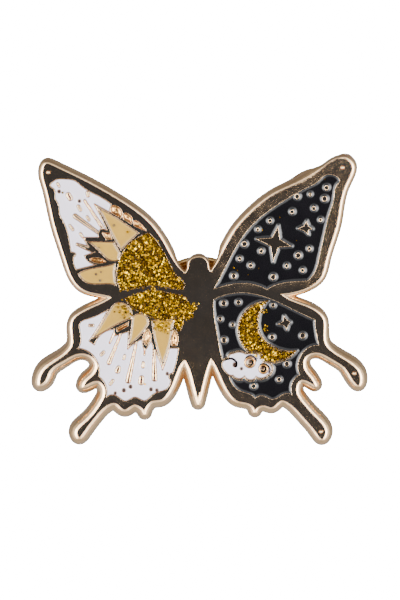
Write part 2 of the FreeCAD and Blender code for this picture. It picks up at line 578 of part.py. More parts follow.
def wing_plan(side):
    """Plan outline of an arm: strip, neck through the window, broad round wing."""
    half, neck, broad = strip_width / 2, neck_width / 2, wing_width / 2
    start, tip = -spring_reach - 2 * bend_high, wing_tip_x + sheet / 2
    full = tip - wing_round
    right = [(start, half), (grip_radius, half), (window_start, neck), (wing_root + wing_shoulder, neck),
             (full - 1.0, 0.93 * broad), (full, broad)]
    steps = 8
    for step in range(1, steps):
        angle = math.pi / 2 * step / steps
        right.append((full + wing_round * math.sin(angle), broad * math.cos(angle)))
    corners = right + [(tip, 0)] + [(x, -z) for x, z in reversed(right)]
    return plan([(side * x, z) for x, z in corners])


def make_wing(side, radius, hinge_y):
    """Arm from its bend over the post to the finger wing on the other side.

    side is +1 for the wing on the +X side, whose bend is on the -X side."""
    top_y = hinge_y + radius
    rise_x, rise_y = wing_tip_x - wing_root, middle_y + wing_tip_rise - top_y
    length = math.hypot(rise_x, rise_y)
    nx, ny = -rise_y / length * sheet / 2, rise_x / length * sheet / 2
    half = sheet / 2
    knee = (math.hypot(rise_x, rise_y) - rise_x) / rise_y * half
    corners = [
        (-spring_reach, top_y - half), (wing_root + knee, top_y - half),
        (wing_tip_x - nx, top_y + rise_y - ny), (wing_tip_x + nx, top_y + rise_y + ny),
        (wing_root - knee, top_y + half), (-spring_reach, top_y + half)]
    points = [FreeCAD.Vector(side * x, y, 0) for x, y in corners]
    arm = strip(Part.makePolygon(points + points[:1]).Edges, wing_plan(side))
    arm = arm.fuse(quarter(-side, radius, hinge_y, True))
    grip_x = side * (grip_radius - post_radius - grip_touch)
    grip = Part.makeCylinder(grip_radius, 4, FreeCAD.Vector(grip_x, top_y - 2, post_z), axis)
    return arm.cut(grip).removeSplitter()


# ---- build and write -----------------------------------------------------
def build():
    pockets = make_pockets()
    parts = {"base_plate": make_plate(pockets)}
    for name, space in pockets.items():
        parts[name] = make_enamel(space)
    parts["pin_post"] = make_post()
    parts["post_solder"] = make_solder()
    parts["clutch_base"] = make_clutch_base()
    parts["clutch_spring_seat"] = make_spring_seat().cut(window_block())
    parts["clutch_wing_right"] = make_wing(1, bend_low, hinge_low_y)
    parts["clutch_wing_left"] = make_wing(-1, bend_high, hinge_high_y).cut(window_block())
    return parts


os.makedirs("parts", exist_ok=True)
for name, shape in build().items():
    shape.exportStep(os.path.join("parts", name + ".step"))
    print(f"{name:24s} solids {len(shape.Solids)}  volume {shape.Volume:9.3f}  valid {shape.isValid()}")
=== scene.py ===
"""Moth enamel pin: metal, enamel pools, glitter, post and butterfly clutch around the CAD frame.

Shapes are worked out in millimetres in the frame of the CAD part: X across the wings,
Z up, the enamel side looks along -Y. Outlines are closed (x, z) loops with the material
on their left as seen from the front.
"""
import math

import bpy
import numpy as np
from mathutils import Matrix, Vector
from mathutils.geometry import delaunay_2d_cdt


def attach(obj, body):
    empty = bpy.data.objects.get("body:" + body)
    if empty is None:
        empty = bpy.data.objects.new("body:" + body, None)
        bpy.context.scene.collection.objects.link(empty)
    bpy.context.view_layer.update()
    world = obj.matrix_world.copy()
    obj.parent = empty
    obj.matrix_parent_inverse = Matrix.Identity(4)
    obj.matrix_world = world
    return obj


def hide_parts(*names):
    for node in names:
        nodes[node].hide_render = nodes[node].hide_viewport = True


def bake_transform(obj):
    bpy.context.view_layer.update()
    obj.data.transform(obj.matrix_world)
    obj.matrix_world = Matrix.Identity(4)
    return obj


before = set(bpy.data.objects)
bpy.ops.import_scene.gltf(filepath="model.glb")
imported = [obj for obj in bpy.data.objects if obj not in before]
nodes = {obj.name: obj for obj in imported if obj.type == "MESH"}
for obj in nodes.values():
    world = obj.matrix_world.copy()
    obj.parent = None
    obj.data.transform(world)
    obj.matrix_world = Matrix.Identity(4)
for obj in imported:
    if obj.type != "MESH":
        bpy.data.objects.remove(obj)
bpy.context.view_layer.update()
random = np.random.default_rng(614)

MM = 0.001

# Heights on the plate (y): crest, floors of the wells and bare cells, top of the CAD enamel.
CREST, FLOOR, CELL_FLOOR, ENAMEL_TOP = -1.6, -1.05, -1.25, -1.48
# Width of the rim outside the crest, at the neck and at the tails.
RIM, NECK_RIM, TAIL_RIM = 0.6, 0.24, 0.8
# Drop of the rim, its flat share, and the share where it ends, just before it stands upright.
RIM_DEPTH, SHOULDER, LAST_SHARE = 1.0, 0.22, 0.995
# Broken edges: width at wells, on raised marks and on thin ridges in white, and slope.
EDGE, ROOF, RIDGE, SLOPE = 0.07, 0.055, 0.3, 0.27
# Rounding of the back's edge and depth of the post's seat.
BACK_EDGE, SEAT_DEPTH = 0.12, 0.35
# Spacing of points on metal outlines, on enamel outlines and beside them.
METAL_STEP, ENAMEL_STEP, RING_STEP = 0.09, 0.1, 0.12

# Height of the post's axis (z), and thickness of the spring's strip.
POST_Z, STRIP = -1.5, 0.25

FARTHEST = 1.2      # distances from outlines are capped here
TOO_CLOSE = 0.02    # points nearer to an outline are dropped
TINY = 1e-9         # keeps a division by a length safe


# ---- plane geometry
def mesh_of(name):
    """Welded corners (mm) and triangles of a CAD node."""
    mesh = nodes[name].data
    mesh.calc_loop_triangles()
    corners = np.array([vertex.co for vertex in mesh.vertices], float)
    triangles = np.array([tuple(triangle.vertices) for triangle in mesh.loop_triangles])
    corners, index = np.unique(np.round(corners / MM, 3), axis=0, return_inverse=True)
    return corners, index.reshape(-1)[triangles]


def outlines(name, y):
    """Closed outlines of a CAD node's faces in the plane at y, from edges with one face only."""
    corners, triangles = mesh_of(name)
    tolerance = 0.004
    flat = triangles[np.all(np.abs(corners[triangles][:, :, 1] - y) < tolerance, axis=1)]
    edges = np.vstack([flat[:, [0, 1]], flat[:, [1, 2]], flat[:, [2, 0]]])
    _, first, count = np.unique(np.sort(edges, axis=1), axis=0, return_index=True, return_counts=True)
    following = {}
    for start, end in edges[first[count == 1]]:
        following.setdefault(start, []).append(end)
    loops = []
    while following:
        start = next(iter(following))
        loop = [start]
        while True:
            ends = following[loop[-1]]
            end = ends.pop()
            if not ends:
                del following[loop[-1]]
            if end == start:
                break
            loop.append(end)
        loops.append(corners[loop][:, [0, 2]])
    return loops


def area(loop):
    """Area inside an outline, negative if it runs clockwise."""
    after = np.roll(loop, -1, axis=0)
    return float((loop[:, 0] * after[:, 1] - after[:, 0] * loop[:, 1]).sum()) / 2


def finer(loop, step):
    """The same outline with points no more than step apart."""
    points = []
    for start, end in zip(loop, np.roll(loop, -1, axis=0)):
        count = max(1, math.ceil(np.linalg.norm(end - start) / step))
        points += [start + (end - start) * share / count for share in range(count)]
    return np.array(points)


def tiles(points):
    """Groups of indices of the points that lie in one square tile."""
    size = 2.0
    keys = np.floor(points / size).astype(int)
    order = np.lexsort((keys[:, 1], keys[:, 0]))
    ordered = keys[order]
    cuts = np.flatnonzero(np.any(np.diff(ordered, axis=0) != 0, axis=1)) + 1
    return np.split(order, cuts)


def edges_of(loops):
    """Starts and ends of all edges of the outlines."""
    return np.vstack(loops), np.vstack([np.roll(loop, -1, axis=0) for loop in loops])


def nearest(points, loops, reach=FARTHEST):
    """Distance from the outlines, capped at reach, and the unit direction away from them."""
    start, end = edges_of(loops)
    low, high = np.minimum(start, end) - reach, np.maximum(start, end) + reach
    distance = np.full(len(points), float(reach))
    away = np.zeros((len(points), 2))
    for group in tiles(points):
        tile = points[group]
        near = np.all((low <= tile.max(0)) & (high >= tile.min(0)), axis=1)
        if not near.any():
            continue
        a, span = start[near], (end - start)[near]
        share = ((tile[:, None] - a) * span).sum(2) / np.maximum((span ** 2).sum(1), 1e-12)
        gap = tile[:, None] - a - np.clip(share, 0, 1)[..., None] * span
        square = (gap ** 2).sum(2)
        best = square.argmin(1)
        rows = np.arange(len(group))
        length = np.sqrt(square[rows, best])
        distance[group] = np.minimum(length, reach)
        away[group] = gap[rows, best] / np.maximum(length, TINY)[:, None]
    return distance, away


def inside(points, loops):
    """True for points with an odd number of outlines around them."""
    start, end = edges_of(loops)
    low, high = np.minimum(start[:, 1], end[:, 1]), np.maximum(start[:, 1], end[:, 1])
    result = np.zeros(len(points), bool)
    for group in tiles(points):
        tile = points[group]
        near = (low <= tile[:, 1].max()) & (high >= tile[:, 1].min())
        a, b = start[near], end[near]
        x, z = tile[:, :1], tile[:, 1:]
        crosses = (a[:, 1] > z) != (b[:, 1] > z)
        rise = np.where(a[:, 1] == b[:, 1], 1.0, b[:, 1] - a[:, 1])
        at_x = a[:, 0] + (z - a[:, 1]) / rise * (b[:, 0] - a[:, 0])
        result[group] = (crosses & (x < at_x)).sum(1) % 2 == 1
    return result


def toward(angles):
    """Unit (x, z) directions at the angles."""
    return np.stack([np.cos(angles), np.sin(angles)], 1)


def to_right(along):
    """Unit directions to the right of (x, z) directions."""
    along = along / np.maximum(np.linalg.norm(along, axis=1), TINY)[:, None]
    return np.stack([along[:, 1], -along[:, 0]], 1)


def beside(loop, distance, step):
    """Points to the right of an outline, or to its left if the distance is negative.

    The distance can be a function of the outline's points. Corners get a fan of points,
    and points closer to another part of the outline are dropped.
    """
    loop = finer(loop, step)
    reach = distance(loop) if callable(distance) else np.full(len(loop), float(distance))
    right = to_right(np.roll(loop, -1, axis=0) - loop) * np.sign(reach)[:, None]
    reach = np.abs(reach)
    sharp_turn = 0.4
    points, radii = [], []
    for corner, first, last, radius in zip(loop, np.roll(right, 1, axis=0), right, reach):
        turn = math.acos(max(-1.0, min(1.0, float(first @ last))))
        count = int(turn * radius / step) + (1 if turn < sharp_turn else 3)
        for share in (np.arange(count) + 0.5) / count:
            direction = first * (1 - share) + last * share
            length = np.linalg.norm(direction)
            if length > 1e-6:
                points.append(corner + direction / length * radius)
                radii.append(radius)
    points, radii = np.array(points), np.array(radii)
    return points[nearest(points, [loop], radii.max() * 1.5)[0] > radii * 0.93]


def triangles_between(loops, points):
    """Corners and triangles that fill the outlines and pass through the points."""
    corners, edges = [], []
    for loop in loops:
        first = len(corners)
        corners += [Vector(p) for p in loop]
        edges += [(first + i, first + (i + 1) % len(loop)) for i in range(len(loop))]
    corners += [Vector(p) for p in points]
    merge_distance = 1e-5
    corners, _, faces, _, _, _ = delaunay_2d_cdt(corners, edges, [], 0, merge_distance)
    corners, faces = np.array(corners), np.array(faces)
    faces = faces[inside(corners[faces].mean(axis=1), loops)]
    used, index = np.unique(faces, return_inverse=True)
    return corners[used], index.reshape(-1, 3)


def grid(loops, step):
    """Staggered grid of points over the outlines, a little uneven."""
    low, high = np.vstack(loops).min(0), np.vstack(loops).max(0)
    row_share, spread = 0.87, 0.08
    columns = np.arange(low[0], high[0], step)
    rows = np.arange(low[1], high[1], step * row_share)
    points = [(x + (row % 2) * step / 2, z) for row, z in enumerate(rows) for x in columns]
    points = np.array(points) + random.normal(0, step * spread, (len(points), 2))
    return points[inside(points, loops)]


# ---- surfaces
class Surface:
    """Patches of triangles with their own normals, collected into one mesh."""

    def __init__(self):
        self.corners, self.normals, self.faces, self.slots, self.values = [], [], [], [], {}
        self.count = 0

    def add(self, corners, normals, faces, slot=0, **values):
        """Adds a patch; values are point attributes for the materials, 0 where not given."""
        corners, faces = np.asarray(corners, float), np.asarray(faces, int)
        normals = np.broadcast_to(np.asarray(normals, float), corners.shape)
        length = np.maximum(np.linalg.norm(normals, axis=1), TINY)[:, None]
        self.corners.append(corners)
        self.normals.append(normals / length)
        self.faces.append(faces + self.count)
        self.slots.append(np.full(len(faces), slot))
        for key in set(values) | set(self.values):
            rows = self.values.setdefault(key, [np.zeros(self.count)] if self.count else [])
            rows.append(np.broadcast_to(np.asarray(values.get(key, 0.0), float), (len(corners),)))
        self.count += len(corners)

    def build(self, name, *materials):
        """The object, with one material per slot."""
        mesh = bpy.data.meshes.new(name)
        mesh.from_pydata(np.vstack(self.corners) * MM, [], np.vstack(self.faces).tolist())
        for material in materials:
            mesh.materials.append(material)
        mesh.polygons.foreach_set("material_index", np.concatenate(self.slots).astype(np.int32))
        mesh.polygons.foreach_set("use_smooth", np.ones(len(mesh.polygons), bool))
        for key, rows in self.values.items():
            attribute = mesh.attributes.new(key, "FLOAT", "POINT")
            attribute.data.foreach_set("value", np.concatenate(rows).astype(np.float32))
        mesh.normals_split_custom_set_from_vertices(np.vstack(self.normals))
        thing = bpy.data.objects.new(name, mesh)
        bpy.context.scene.collection.objects.link(thing)
        return thing


def lifted(points, y):
    """Plane points (x, z) put at y."""
    return np.stack([points[:, 0], np.broadcast_to(y, len(points)), points[:, 1]], 1)


def strips(rows, count, closed=False):
    """Triangles between neighbouring rows of count points each."""
    n = np.arange(count if closed else count - 1)
    after = (n + 1) % count
    faces = []
    for a in range(0, (rows - 1) * count, count):
        b = a + count
        faces += [np.stack([a + n, b + n, b + after], 1), np.stack([a + n, b + after, a + after], 1)]
    return np.vstack(faces)


def wall(surface, loop, y_front, y_back, slot=0, **values):
    """Wall under an outline whose material is on the left; it faces right, smooth at shallow corners."""
    right = to_right(np.roll(loop, -1, axis=0) - loop)
    before = np.roll(right, 1, axis=0)
    shallow = 0.8
    smooth = (right * before).sum(1) > shallow
    at_start = np.where(smooth[:, None], right + before, right)
    at_end = np.roll(np.where(smooth[:, None], right + before, before), -1, axis=0)
    y_front = np.broadcast_to(y_front, len(loop))
    after, y_after = np.roll(loop, -1, axis=0), np.roll(y_front, -1)
    quad = ((loop, y_front), (loop, y_back), (after, y_back), (after, y_after))
    corners = np.vstack([lifted(points, y) for points, y in quad])
    normals = np.vstack([lifted(normal, 0) for normal in (at_start, at_start, at_end, at_end)])
    n, count = np.arange(len(loop)), len(loop)
    faces = np.vstack([np.stack([n, n + k * count, n + (k + 1) * count], 1) for k in (1, 2)])
    surface.add(corners, normals, faces, slot, **values)


def dome(surface, centre, radius, height):
    """Small dome that bulges to the front; its height is a share of the radius."""
    rings, around = 7, 20
    n = np.arange(around)
    turn = np.tile(2 * math.pi * n / around, rings)
    tilt = np.repeat(math.pi / 2 * np.arange(1, rings + 1) / rings, around)
    out = np.sin(tilt)
    corners = np.stack([out * np.cos(turn), -np.cos(tilt), out * np.sin(turn)], 1)
    corners = np.vstack([(0, -1, 0), corners])
    fan = np.stack([0 * n, 1 + n, 1 + (n + 1) % around], 1)
    faces = np.vstack([fan, 1 + strips(rings, around, closed=True)])
    placed = corners * (radius, radius * height, radius) + centre
    surface.add(placed, corners / (1, height, 1), faces)


# ---- materials
class Nodes:
    """Nodes of one tree."""

    def __init__(self, tree):
        self.tree = tree

    def set(self, socket, value):
        """Links another node's output to the socket, or sets a number or colour."""
        if isinstance(value, bpy.types.NodeSocket):
            self.tree.links.new(value, socket)
        elif isinstance(value, tuple) and socket.type == "RGBA":
            socket.default_value = (*value, 1.0)
        else:
            socket.default_value = value

    def fill(self, node, settings):
        """Sets inputs by name, with _ for a space."""
        for key, value in settings.items():
            self.set(node.inputs[key.replace("_", " ")], value)

    def node(self, kind, properties=(), **settings):
        """A new node with properties and inputs."""
        node = self.tree.nodes.new(kind)
        for key, value in dict(properties).items():
            setattr(node, key, value)
        self.fill(node, settings)
        return node

    def join(self, kind, *values, **properties):
        """A new node with its first inputs in order."""
        node = self.node(kind, properties)
        for socket, value in zip(node.inputs, values):
            self.set(socket, value)
        return node

    def ramp(self, factor, *stops):
        """Colours or greys at given places along a factor."""
        node = self.node("ShaderNodeValToRGB", Fac=factor)
        elements = node.color_ramp.elements
        while len(elements) < len(stops):
            elements.new(0.5)
        for element, (place, colour) in zip(elements, stops):
            element.position = place
            element.color = (*(colour if isinstance(colour, tuple) else (colour,) * 3), 1.0)
        return node.outputs["Color"]


class Look(Nodes):
    """A material built from a few procedural nodes around one Principled shader."""

    def __init__(self, name, **settings):
        self.material = bpy.data.materials.new(name)
        self.material.use_nodes = True
        super().__init__(self.material.node_tree)
        self.shader = self.tree.nodes["Principled BSDF"]
        self.paint(**settings)

    def paint(self, **settings):
        """Sets inputs of the shader."""
        self.fill(self.shader, settings)

    def place(self, stretch=(1, 1, 1)):
        """Position in the piece, in metres, stretched."""
        coordinates = self.node("ShaderNodeTexCoord").outputs["Object"]
        return self.node("ShaderNodeMapping", Vector=coordinates, Scale=stretch).outputs[0]

    def noise(self, scale, detail=3.0, stretch=(1, 1, 1), roughness=0.5):
        """Noise with this many features per millimetre."""
        return self.node("ShaderNodeTexNoise", Vector=self.place(stretch), Scale=scale / MM,
                         Detail=detail, Roughness=roughness).outputs["Fac"]

    def value(self, name):
        """Point attribute that Surface.add was given."""
        return self.node("ShaderNodeAttribute", {"attribute_name": name}).outputs["Fac"]

    def mix(self, factor, first, second, kind="MIX"):
        """Mix of two colours; the Mix node's colour sockets are inputs 6 and 7 and output 2."""
        node = self.node("ShaderNodeMix", {"data_type": "RGBA", "blend_type": kind, "clamp_factor": True})
        for index, value in ((0, factor), (6, first), (7, second)):
            self.set(node.inputs[index], value)
        return node.outputs[2]

    def bump(self, *layers):
        """Layers of (height, depth in mm), one over the other."""
        normal = None
        for height, depth in layers:
            settings = {"Height": height, "Distance": depth * MM}
            if normal is not None:
                settings["Normal"] = normal
            normal = self.node("ShaderNodeBump", **settings).outputs[0]
        self.paint(Normal=normal)
        return self


def plating(name, colour, deep, rough, grain, scratches=0.0):
    """Bright plating: cloudy tone, fine orange peel, and grain and scratches of a depth in mm."""
    look = Look(name, Metallic=1.0)
    cloud = look.ramp(look.noise(0.35, 4.0), (0.35, 0.0), (0.7, 1.0))
    look.paint(Base_Color=look.mix(cloud, deep, colour))
    fine = look.ramp(look.noise(9.0, 3.0), (0.3, rough * 0.7), (0.75, rough * 1.35))
    look.paint(Roughness=fine)
    layers = [(look.noise(1.1, 2.0), 0.01), (look.noise(14.0, 2.0), grain)]
    if scratches:
        streaks = look.noise(3.0, 6.0, (6.0, 1.0, 0.25), 0.65)
        layers.append((look.ramp(streaks, (0.47, 0.0), (0.5, 1.0), (0.53, 0.0)), scratches))
    return look.bump(*layers)


def cast_plating(name, colour, deep):
    """Plating of the front: matt and grainy where the casting shows, with a rough rim."""
    look = plating(name, colour, deep, rough=0.07, grain=0.0008, scratches=0.0008)
    cast_roughness, cast_depth, rim_depth = 0.165, 0.016, 0.05
    fine = look.shader.inputs["Roughness"].links[0].from_socket
    smooth = look.shader.inputs["Normal"].links[0].from_socket
    cast = look.value("cast")
    patchy = look.mix(1.0, cast, look.ramp(look.noise(1.6, 4.0), (0.3, 0.35), (0.65, 1.0)), "MULTIPLY")
    look.paint(Roughness=look.mix(patchy, fine, (cast_roughness,) * 3))
    grain = look.mix(1.0, look.noise(6.0, 4.0), cast, "MULTIPLY")
    side = look.mix(1.0, look.noise(3.0, 4.0), look.value("rim"), "MULTIPLY")
    for height, depth in ((grain, cast_depth), (side, rim_depth)):
        bump = look.node("ShaderNodeBump", Height=height, Distance=depth * MM, Normal=smooth)
        smooth = bump.outputs[0]
    look.paint(Normal=smooth)
    return look.material


# ---- plate
def rise(value, start, length):
    """0 up to start, 1 from start + length on, and even between."""
    return np.clip((value - start) / length, 0, 1)


def low_on_wing(points):
    """0 on the forewings, rising to 1 at the tails."""
    return rise(-points[:, 1], 2.0, 5.0)


def rim_growth(points):
    """How far the rim stands out: less in the two notches at the neck, more at the tails.

    On top of the right forewing it fills the hollow before the tip and is narrow at the tip.
    """
    x, z = points.T
    into_neck = rise(z, 2.3, 0.6) * rise(-z, -5.4, 1.2) * rise(-np.abs(x), -3.4, 1.2)
    growth = RIM + (NECK_RIM - RIM) * into_neck + (TAIL_RIM - RIM) * low_on_wing(points)
    hollow = 0.28 * np.exp(-((x - 10.9) / 1.2) ** 2) * (z > 11.0)
    at_tip = 0.34 * rise(x, 11.6, 1.2) * rise(-x, -15.2, 0.8) * rise(z, 12.6, 0.5)
    return growth + hollow - at_tip


def make_rim_profile():
    """Shares of the rim's width, its drop and its slope: a flat shoulder, then a round edge."""
    share = np.linspace(0, LAST_SHARE, 400)
    round_part = np.clip((share - SHOULDER) / (1 - SHOULDER), 0, 1)
    soft = round_part / np.sqrt(1 - round_part ** 2)
    flat = SLOPE * rise(share, 0, 0.08)
    step = share[1] * RIM
    left = RIM_DEPTH - flat.sum() * step
    slope = flat + soft * left / (soft.sum() * step)
    return share, np.cumsum(slope) * step, slope


RIM_PROFILE = make_rim_profile()
RIM_RINGS = (0.04, 0.09, 0.2, SHOULDER, 0.46, 0.58, 0.7, 0.81, 0.9, 0.96)
# The rim starts this far inside the crest's outline at the tails.
TAIL_START_LEFT, TAIL_START_RIGHT = 0.2, 0.09


def rim_height(points):
    """Share, height and slope of the rim, and the direction away from the crest."""
    gap, away = nearest(points, [crest_edge])
    outside = ~inside(points, [crest_edge])
    growth = rim_growth(points)
    start = np.where(points[:, 0] < 0, TAIL_START_LEFT, TAIL_START_RIGHT) * low_on_wing(points)
    share = np.clip((np.where(outside, gap, -gap) + start) / (growth + start), 0, LAST_SHARE)
    scale = np.minimum(1.0, growth / RIM)
    drop = np.interp(share, RIM_PROFILE[0], RIM_PROFILE[1]) * scale
    slope = np.where(share > 0, np.interp(share, RIM_PROFILE[0], RIM_PROFILE[2]), 0.0)
    return share, CREST + drop, slope, np.where(outside[:, None], away, -away)


def bead_places():
    """Middles of the struck beads: the parts of the CAD plate in front of the crest."""
    corners, _ = mesh_of("base_plate")
    front = corners[corners[:, 1] < CREST - 0.01][:, [0, 2]]
    places = []
    while len(front):
        close = np.linalg.norm(front - front[0], axis=1) < 0.6
        places.append((front[close].min(0) + front[close].max(0)) / 2)
        front = front[~close]
    return places


def is_under_bead(loop):
    """True for the small outline that a bead makes in the crest."""
    near = any(np.linalg.norm(loop.mean(0) - bead) < 0.1 for bead in beads)
    return near and np.ptp(loop[:, 0]) < 0.6


beads = bead_places()
crest_loops = [finer(loop, METAL_STEP) for loop in outlines("base_plate", CREST)]
crest_loops = sorted((loop for loop in crest_loops if not is_under_bead(loop)), key=area)
crest_edge = crest_loops[-1]
pocket_loops = crest_loops[:-1]
back_loops = sorted((finer(loop[::-1], METAL_STEP) for loop in outlines("base_plate", 0.0)), key=area)
outer_edge = beside(crest_edge, rim_growth, RING_STEP)

# Material slots of the plate.
METAL, WELL, BACK, DARK_TOP = range(4)


def add_front(surface):
    """Crest with broken edges, and the rim round it, in one sheet."""
    dot_width, narrow_ridge = 0.37, 0.45
    islands = [loop for loop in pocket_loops if area(loop) > 0]
    ridges = [loop for loop in islands if is_pale(loop)]
    # Painted dark reflection: the smallest raised dots in white enamel get dark brown tops.
    dark_dots = [loop for loop in ridges if np.ptp(loop, axis=0).max() < dot_width]
    cloud_rings = [loop for loop in ridges if loop[:, 0].min() > 0]
    inner = [beside(loop, -ROOF if area(loop) > 0 else -EDGE, RING_STEP) for loop in pocket_loops]
    inner += [beside(crest_edge, -distance, RING_STEP) for distance in (0.06, 0.12, 0.21)]
    outer = [beside(crest_edge, lambda p, k=share: rim_growth(p) * k, RING_STEP) for share in RIM_RINGS]
    points = np.vstack(inner + outer + [crest_edge])
    loops = [outer_edge] + pocket_loops
    clear = nearest(points, loops, 0.1)[0] > TOO_CLOSE
    corners, faces = triangles_between(loops, points[clear & inside(points, loops)])
    share, height, slope, outward = rim_height(corners)
    gap, from_pocket = nearest(corners, pocket_loops, 0.2)

    # Thin metal with white enamel on both sides is one round ridge; other edges are only broken.
    beside_white = nearest(corners, white_loops, 0.4)[0] < gap + TOO_CLOSE
    white_beyond = inside(corners + from_pocket * narrow_ridge, white_loops)
    narrow = beside_white & (gap < RIDGE) & white_beyond
    bevel = np.where(inside(corners, islands), ROOF, EDGE)
    bevel = np.where(inside(corners, ridges) | narrow, RIDGE, bevel)
    tilt = np.where(gap < bevel * 0.98, -SLOPE, 0.0)
    flat = outward * slope[:, None] + from_pocket * tilt[:, None]
    normals = lifted(flat, -1.0)
    place = lifted(corners, height + SLOPE * np.clip(bevel - gap, 0, None))

    # The casting shows most on the right forewing, less on the tails, least elsewhere.
    x, z = corners.T
    forewing = rise(x, 1.0, 1.0) * rise(z, 1.0, 0.5)
    cast = np.where(share > 0, 0.0, np.maximum(forewing, 0.3)) + 0.35 * low_on_wing(corners)
    cast[inside(corners, islands)] = 0.0

    middles = corners[faces].mean(axis=1)
    dark_dotted = inside(middles, dark_dots)
    ringed = inside(middles, cloud_rings) & ~dark_dotted
    surface.add(place, normals, faces[~dark_dotted & ~ringed], METAL, cast=cast, rim=share)
    surface.add(place, normals, faces[ringed], WELL)
    # Painted dark reflection on the dots' tops.
    surface.add(place, normals, faces[dark_dotted], DARK_TOP)


def add_cell(surface, loop):
    """Dished, uneven floor of a cell that is left bare."""
    depth, width, unevenness = 0.22, 0.2, 0.13
    corners, faces = triangles_between([loop], grid([loop], 0.11))
    gap, away = nearest(corners, [loop])
    dish = depth * np.exp(-gap / width)
    hollow = away * (-dish / width)[:, None] + random.normal(0, unevenness, corners.shape)
    surface.add(lifted(corners, CELL_FLOOR - dish), lifted(-hollow, -1.0), faces, WELL)


def add_wells(surface):
    """Walls of all pockets and raised marks, and the floors of the bare cells."""
    for loop in pocket_loops:
        island = area(loop) > 0
        cell = not island and not any(is_same(loop, other) for other in enamel_outers)
        bevel = (RIDGE if is_pale(loop) else ROOF) if island else EDGE
        wall(surface, loop, CREST + bevel * SLOPE, CELL_FLOOR if cell else FLOOR, WELL)
        if cell:
            add_cell(surface, loop[::-1])


def add_back(surface):
    """Back with a rounded edge, and the round seat of the post."""
    seat = back_loops[0]
    rings = [beside(outer_edge, -distance, RING_STEP) for distance in (0.02, 0.06, BACK_EDGE)]
    points = np.vstack(rings + [grid([outer_edge], 0.8)])
    points = points[inside(points, [outer_edge, seat])]
    corners, faces = triangles_between([outer_edge, seat], points)
    gap, inward = nearest(corners, [outer_edge], 0.4)
    short = np.clip(BACK_EDGE - gap, 0, BACK_EDGE * 0.975)
    level = np.sqrt(BACK_EDGE ** 2 - short ** 2)
    normals = lifted(-inward * (short / level)[:, None], 1.0)
    surface.add(lifted(corners, level - BACK_EDGE), normals, faces[:, ::-1], BACK)
    wall(surface, seat, -SEAT_DEPTH, 0.0, BACK)
    corners, faces = triangles_between([seat[::-1]], grid([seat[::-1]], 0.5))
    surface.add(lifted(corners, -SEAT_DEPTH), (0, 1, 0), faces[:, ::-1], BACK)


def make_plate(metal):
    """Struck plate: crest and rim, wells, beads and cast back."""
    surface = Surface()
    add_front(surface)
    wall(surface, outer_edge, rim_height(outer_edge)[1], -BACK_EDGE, rim=1.0)
    add_wells(surface)
    for x, z in beads:
        dome(surface, (x, CREST + 0.02, z), 0.21, 0.8)
    add_back(surface)
    return surface.build("plate_metal", metal, well_metal, back_metal, dark_top_paint)


def is_pale(loop):
    """True for raised metal that stands in white enamel."""
    places = (loop[:1], loop.mean(0)[None])
    return any(inside(place, [outer])[0] for outer in pale_outers for place in places)


def is_same(loop, other):
    """True if two outlines have nearly the same area and middle, whichever way they run."""
    same_area = abs(abs(area(loop)) - abs(area(other))) < 0.02
    return same_area and np.abs(loop.mean(0) - other.mean(0)).max() < 0.2


# ---- enamel
def make_pool(name, loops, material, climb, reach):
    """Cured enamel: a glossy pool that swells a little and climbs at every wall."""
    surface = Surface()
    recess, swell, edge_width = 0.05, 0.012, 0.16
    distances = (0.04, 0.1, 0.18, 0.29, 0.44)
    rings = [beside(loop, -distance, ENAMEL_STEP) for loop in loops for distance in distances]
    points = np.vstack(rings + [grid(loops, 0.3)])
    points = points[inside(points, loops) & (nearest(points, loops)[0] > TOO_CLOSE)]
    corners, faces = triangles_between(loops, points)
    gap, away = nearest(corners, loops)
    left = np.clip(1 - gap / reach, 0, 1)
    flat = away * (-2 * climb / reach * left)[:, None]
    x, z = corners.T
    height = ENAMEL_TOP + recess - climb * left ** 2
    height = height + swell * np.sin(x * 1.3 + 0.7 * z) * np.cos(z * 1.1 - 0.4 * x)
    edge = np.exp(-gap / edge_width)
    surface.add(lifted(corners, height), lifted(-flat, -1.0), faces, edge=edge)
    return surface.build(name, material)


def enamel(name, colour, thin, line, rough, cloud):
    """Glossy enamel: cloudy by a share, with a colour where it is thin and one along the metal; in the pale
    enamels that one is a dark brown line of painted shade in the gap at the walls.
    """
    look = Look(name, Roughness=rough, Specular_IOR_Level=0.42, Coat_Weight=0.1, Coat_Roughness=0.03)
    dim = tuple(c * (1 - cloud) for c in colour)
    tone = look.ramp(look.noise(0.5, 4.0), (0.3, dim), (0.7, colour))
    tone = look.mix(look.ramp(look.value("edge"), (0.35, 0.0), (0.95, 1.0)), tone, thin)
    # Painted shade: the line colour, dark brown in the pale enamels, laid close along the metal walls.
    shade_at_wall = look.ramp(look.value("edge"), (0.45, 0.0), (0.74, 1.0))
    look.paint(Base_Color=look.mix(shade_at_wall, tone, line))
    return look.bump((look.noise(0.9, 2.0), 0.02), (look.noise(6.0, 2.0), 0.0012)).material


def glitter_ground():
    """Dark, cloudy bed under the flakes."""
    look = Look("glitter_ground", Roughness=0.5)
    tone = look.ramp(look.noise(4.0), (0.35, (0.05, 0.03, 0.008)), (0.7, (0.22, 0.13, 0.02)))
    look.paint(Base_Color=tone)
    return look.material


def glitter_flake():
    """Metal flakes from dark brown to a few bright yellow ones."""
    look = Look("glitter_flake", Metallic=1.0, Roughness=0.27)
    tones = [(0.0, (0.012, 0.004, 0.0002)), (0.5, (0.05, 0.022, 0.0008)), (0.8, (0.12, 0.057, 0.0012)),
             (0.97, (0.32, 0.17, 0.002)), (1.0, (0.9, 0.56, 0.015))]
    look.paint(Base_Color=look.ramp(look.value("tone"), *tones))
    return look.material


